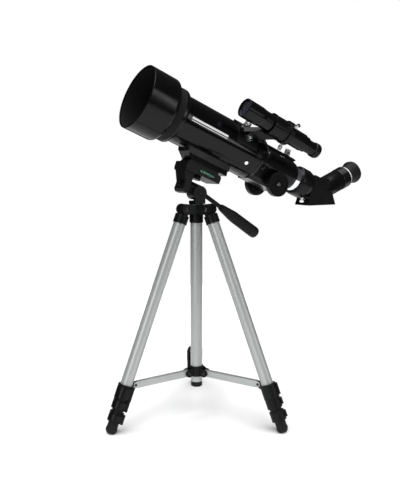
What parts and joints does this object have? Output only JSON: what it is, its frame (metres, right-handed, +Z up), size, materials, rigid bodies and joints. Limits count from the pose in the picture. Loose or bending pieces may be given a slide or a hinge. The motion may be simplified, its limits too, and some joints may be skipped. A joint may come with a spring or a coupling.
{
  "type": "telescope on tripod",
  "caption": "Small travel refractor telescope with finder, angled diagonal and eyepiece on a folding tripod with telescoping legs and a pan and tilt head.",
  "frame": {"origin": "on the ground plane below the middle of the object's outline", "axes": "+Z up; the tube points towards -X and 22.56 degrees up, the eyepiece end is towards +X; the tube's axis lies in the XZ plane"},
  "size_m": [0.4476, 0.2474, 0.4894],
  "materials": {
    "black_plastic": "satin",
    "satin_aluminium": "satin anodised",
    "level_vial": "clear green",
    "black_paint": "gloss",
    "gloss_black_plastic": "semi gloss",
    "coated_glass": "coated",
    "chrome_metal": "polished",
    "black_rubber": "matt"
  },
  "bodies": {
    "tripod_hub": {"shoulder": "black_plastic"},
    "column_lock": {"column_lock_knob": "black_plastic"},
    "column": {"center_column": "satin_aluminium"},
    "spreader": {"spreader_hub": "black_plastic"},
    "leg_1_upper": {"leg_1_tube": "satin_aluminium", "leg_1_fittings": "black_plastic"},
    "leg_2_upper": {"leg_2_tube": "satin_aluminium", "leg_2_fittings": "black_plastic"},
    "leg_3_upper": {"leg_3_tube": "satin_aluminium", "leg_3_fittings": "black_plastic"},
    "brace_1": {"brace_1": "satin_aluminium"},
    "brace_2": {"brace_2": "satin_aluminium"},
    "brace_3": {"brace_3": "satin_aluminium"},
    "leg_1_section_2": {"leg_1_section_2": "satin_aluminium"},
    "leg_1_section_3": {"leg_1_section_3": "satin_aluminium"},
    "leg_1_section_4": {"leg_1_section_4": "satin_aluminium"},
    "leg_1_lever_1": {"leg_1_lever_1": "black_plastic"},
    "leg_1_lever_2": {"leg_1_lever_2": "black_plastic"},
    "leg_1_lever_3": {"leg_1_lever_3": "black_plastic"},
    "leg_2_section_2": {"leg_2_section_2": "satin_aluminium"},
    "leg_2_section_3": {"leg_2_section_3": "satin_aluminium"},
    "leg_2_section_4": {"leg_2_section_4": "satin_aluminium"},
    "leg_2_lever_1": {"leg_2_lever_1": "black_plastic"},
    "leg_2_lever_2": {"leg_2_lever_2": "black_plastic"},
    "leg_2_lever_3": {"leg_2_lever_3": "black_plastic"},
    "leg_3_section_2": {"leg_3_section_2": "satin_aluminium"},
    "leg_3_section_3": {"leg_3_section_3": "satin_aluminium"},
    "leg_3_section_4": {"leg_3_section_4": "satin_aluminium"},
    "leg_3_lever_1": {"leg_3_lever_1": "black_plastic"},
    "leg_3_lever_2": {"leg_3_lever_2": "black_plastic"},
    "leg_3_lever_3": {"leg_3_lever_3": "black_plastic"},
    "pan": {"pan_base": "black_plastic"},
    "tilt": {"tilt_body": "black_plastic"},
    "handle": {"handle_rod": "black_plastic", "handle_grip": "black_plastic"},
    "telescope": {"camera_platform": "black_plastic", "bubble_level": "level_vial", "mount_shoe": "black_plastic", "main_tube": "black_paint", "lens_cell": "gloss_black_plastic", "objective_lens": "coated_glass", "dew_shield": "gloss_black_plastic", "rear_housing": "gloss_black_plastic", "housing_screws": "chrome_metal", "focuser_top_plate": "gloss_black_plastic", "finder_bracket": "gloss_black_plastic", "finder_nuts": "chrome_metal", "finder_adjusters": "chrome_metal", "finder_tube": "gloss_black_plastic"},
    "camera_screw": {"camera_screw": "black_plastic"},
    "focus_lock": {"focus_lock_knob": "chrome_metal"},
    "finder_focus": {"finder_eyepiece": "black_plastic"},
    "focuser": {"drawtube": "chrome_metal", "drawtube_collar": "black_plastic"},
    "pinion": {"pinion_shaft": "chrome_metal", "focus_knobs": "black_plastic"},
    "diagonal_lock": {"diagonal_screw": "chrome_metal"},
    "diagonal": {"diagonal_body": "black_plastic"},
    "eyepiece": {"eyepiece": "black_plastic", "eyecup": "black_rubber"}
  },
  "joints": [
    {"name": "column_height", "type": "slide", "parent": "tripod_hub", "child": "column", "axis": [0, 0, 1], "range_m": [0, 0.15]},
    {"name": "column_lock_turn", "type": "hinge", "parent": "tripod_hub", "child": "column_lock", "pos_m": [-0.0821, 0, 0.2995], "axis": [-0.5, 0.866, 0], "range_deg": [-90, 0]},
    {"name": "spreader_slide", "type": "slide", "parent": "tripod_hub", "child": "spreader", "axis": [0, 0, 1], "range_m": [0, 0.0683]},
    {"name": "leg_1_fold", "type": "hinge", "parent": "tripod_hub", "child": "leg_1_upper", "pos_m": [-0.1016, 0, 0.3], "axis": [0, 1, 0], "range_deg": [-16, 0]},
    {"name": "leg_2_fold", "type": "hinge", "parent": "tripod_hub", "child": "leg_2_upper", "pos_m": [-0.07235, -0.01689, 0.3], "axis": [-0.866, -0.5, 0], "range_deg": [-16, 0]},
    {"name": "leg_3_fold", "type": "hinge", "parent": "tripod_hub", "child": "leg_3_upper", "pos_m": [-0.07235, 0.01689, 0.3], "axis": [0.866, -0.5, 0], "range_deg": [-16, 0]},
    {"name": "brace_1_turn", "type": "hinge", "parent": "spreader", "child": "brace_1", "pos_m": [-0.0966, 0, 0.064], "axis": [0, -1, 0], "range_deg": [0, 83.58]},
    {"name": "brace_2_turn", "type": "hinge", "parent": "spreader", "child": "brace_2", "pos_m": [-0.07485, -0.01256, 0.064], "axis": [0.866, 0.5, 0], "range_deg": [0, 83.58]},
    {"name": "brace_3_turn", "type": "hinge", "parent": "spreader", "child": "brace_3", "pos_m": [-0.07485, 0.01256, 0.064], "axis": [-0.866, 0.5, 0], "range_deg": [0, 83.58]},
    {"name": "leg_1_extend_1", "type": "slide", "parent": "leg_1_upper", "child": "leg_1_section_2", "axis": [-0.3625, 0, -0.932], "range_m": [0, 0.19]},
    {"name": "leg_1_extend_2", "type": "slide", "parent": "leg_1_section_2", "child": "leg_1_section_3", "axis": [-0.3625, 0, -0.932], "range_m": [0, 0.19]},
    {"name": "leg_1_extend_3", "type": "slide", "parent": "leg_1_section_3", "child": "leg_1_section_4", "axis": [-0.3625, 0, -0.932], "range_m": [0, 0.19]},
    {"name": "leg_1_lock_1", "type": "hinge", "parent": "leg_1_upper", "child": "leg_1_lever_1", "pos_m": [-0.19152, -0.01223, 0.0531], "axis": [-0.3625, 0, -0.932], "range_deg": [-110, 0]},
    {"name": "leg_1_lock_2", "type": "hinge", "parent": "leg_1_section_2", "child": "leg_1_lever_2", "pos_m": [-0.19788, -0.01187, 0.03723], "axis": [-0.3625, 0, -0.932], "range_deg": [-110, 0]},
    {"name": "leg_1_lock_3", "type": "hinge", "parent": "leg_1_section_3", "child": "leg_1_lever_3", "pos_m": [-0.20445, -0.01151, 0.02079], "axis": [-0.3625, 0, -0.932], "range_deg": [-110, 0]},
    {"name": "leg_2_extend_1", "type": "slide", "parent": "leg_2_upper", "child": "leg_2_section_2", "axis": [0.1813, -0.314, -0.932], "range_m": [0, 0.19]},
    {"name": "leg_2_extend_2", "type": "slide", "parent": "leg_2_section_2", "child": "leg_2_section_3", "axis": [0.1813, -0.314, -0.932], "range_m": [0, 0.19]},
    {"name": "leg_2_extend_3", "type": "slide", "parent": "leg_2_section_3", "child": "leg_2_section_4", "axis": [0.1813, -0.314, -0.932], "range_m": [0, 0.19]},
    {"name": "leg_2_lock_1", "type": "hinge", "parent": "leg_2_upper", "child": "leg_2_lever_1", "pos_m": [-0.01679, -0.08864, 0.0531], "axis": [0.1813, -0.314, -0.932], "range_deg": [-110, 0]},
    {"name": "leg_2_lock_2", "type": "hinge", "parent": "leg_2_section_2", "child": "leg_2_lever_2", "pos_m": [-0.01393, -0.09433, 0.03723], "axis": [0.1813, -0.314, -0.932], "range_deg": [-110, 0]},
    {"name": "leg_2_lock_3", "type": "hinge", "parent": "leg_2_section_3", "child": "leg_2_lever_3", "pos_m": [-0.01096, -0.10021, 0.02079], "axis": [0.1813, -0.314, -0.932], "range_deg": [-110, 0]},
    {"name": "leg_3_extend_1", "type": "slide", "parent": "leg_3_upper", "child": "leg_3_section_2", "axis": [0.1813, 0.314, -0.932], "range_m": [0, 0.19]},
    {"name": "leg_3_extend_2", "type": "slide", "parent": "leg_3_section_2", "child": "leg_3_section_3", "axis": [0.1813, 0.314, -0.932], "range_m": [0, 0.19]},
    {"name": "leg_3_extend_3", "type": "slide", "parent": "leg_3_section_3", "child": "leg_3_section_4", "axis": [0.1813, 0.314, -0.932], "range_m": [0, 0.19]},
    {"name": "leg_3_lock_1", "type": "hinge", "parent": "leg_3_upper", "child": "leg_3_lever_1", "pos_m": [-0.03799, 0.10088, 0.0531], "axis": [0.1813, 0.314, -0.932], "range_deg": [-110, 0]},
    {"name": "leg_3_lock_2", "type": "hinge", "parent": "leg_3_section_2", "child": "leg_3_lever_2", "pos_m": [-0.03449, 0.1062, 0.03723], "axis": [0.1813, 0.314, -0.932], "range_deg": [-110, 0]},
    {"name": "leg_3_lock_3", "type": "hinge", "parent": "leg_3_section_3", "child": "leg_3_lever_3", "pos_m": [-0.03089, 0.11171, 0.02079], "axis": [0.1813, 0.314, -0.932], "range_deg": [-110, 0]},
    {"name": "pan_turn", "type": "hinge", "parent": "column", "child": "pan", "pos_m": [-0.0821, 0, 0.307], "axis": [0, 0, 1], "continuous": true},
    {"name": "tilt_turn", "type": "hinge", "parent": "pan", "child": "tilt", "pos_m": [-0.0841, 0, 0.322], "axis": [0, 1, 0], "range_deg": [-38, 12]},
    {"name": "handle_twist", "type": "hinge", "parent": "tilt", "child": "handle", "pos_m": [-0.07541, 0, 0.32326], "axis": [0.8333, 0, -0.5528], "range_deg": [-180, 0]},
    {"name": "side_flip", "type": "hinge", "parent": "tilt", "child": "telescope", "pos_m": [-0.10542, 0, 0.33573], "axis": [-0.9235, 0, 0.3837], "range_deg": [0, 75]},
    {"name": "camera_screw_turn", "type": "hinge", "parent": "telescope", "child": "camera_screw", "pos_m": [-0.08051, 0, 0.35138], "axis": [-0.3837, 0, -0.9235], "range_deg": [0, 90]},
    {"name": "focus_lock_turn", "type": "hinge", "parent": "telescope", "child": "focus_lock", "pos_m": [0.07769, 0, 0.3777], "axis": [0.3837, 0, 0.9235], "range_deg": [0, 180]},
    {"name": "finder_focus_slide", "type": "slide", "parent": "telescope", "child": "finder_focus", "axis": [0.9177, 0.0186, -0.3969], "range_m": [0, 0.006]},
    {"name": "focus_travel", "type": "slide", "parent": "telescope", "child": "focuser", "axis": [0.9235, 0, -0.3837], "range_m": [0, 0.045]},
    {"name": "pinion_turn", "type": "hinge", "parent": "telescope", "child": "pinion", "pos_m": [0.03935, 0, 0.3331], "axis": [0, 1, 0], "range_deg": [-5, 578]},
    {"name": "diagonal_lock_turn", "type": "hinge", "parent": "focuser", "child": "diagonal_lock", "pos_m": [0.11051, 0, 0.33158], "axis": [-0.3605, -0.342, -0.8678], "range_deg": [0, 180]},
    {"name": "diagonal_turn", "type": "hinge", "parent": "focuser", "child": "diagonal", "pos_m": [0.13932, 0, 0.31961], "axis": [0.9235, 0, -0.3837], "continuous": true},
    {"name": "eyepiece_pull", "type": "slide", "parent": "diagonal", "child": "eyepiece", "axis": [0.9243, 0, 0.3817], "range_m": [0, 0.03]}
  ],
  "couplings": [
    {"joint": "spreader_slide", "follows": "leg_1_fold", "m_per_rad": -0.2427},
    {"joint": "leg_2_fold", "follows": "leg_1_fold", "ratio": 1},
    {"joint": "leg_3_fold", "follows": "leg_1_fold", "ratio": 1},
    {"joint": "brace_1_turn", "follows": "leg_1_fold", "ratio": -5.1928},
    {"joint": "brace_2_turn", "follows": "leg_1_fold", "ratio": -5.1928},
    {"joint": "brace_3_turn", "follows": "leg_1_fold", "ratio": -5.1928},
    {"joint": "pinion_turn", "follows": "focus_travel", "rad_per_m": 222.22}
  ]
}
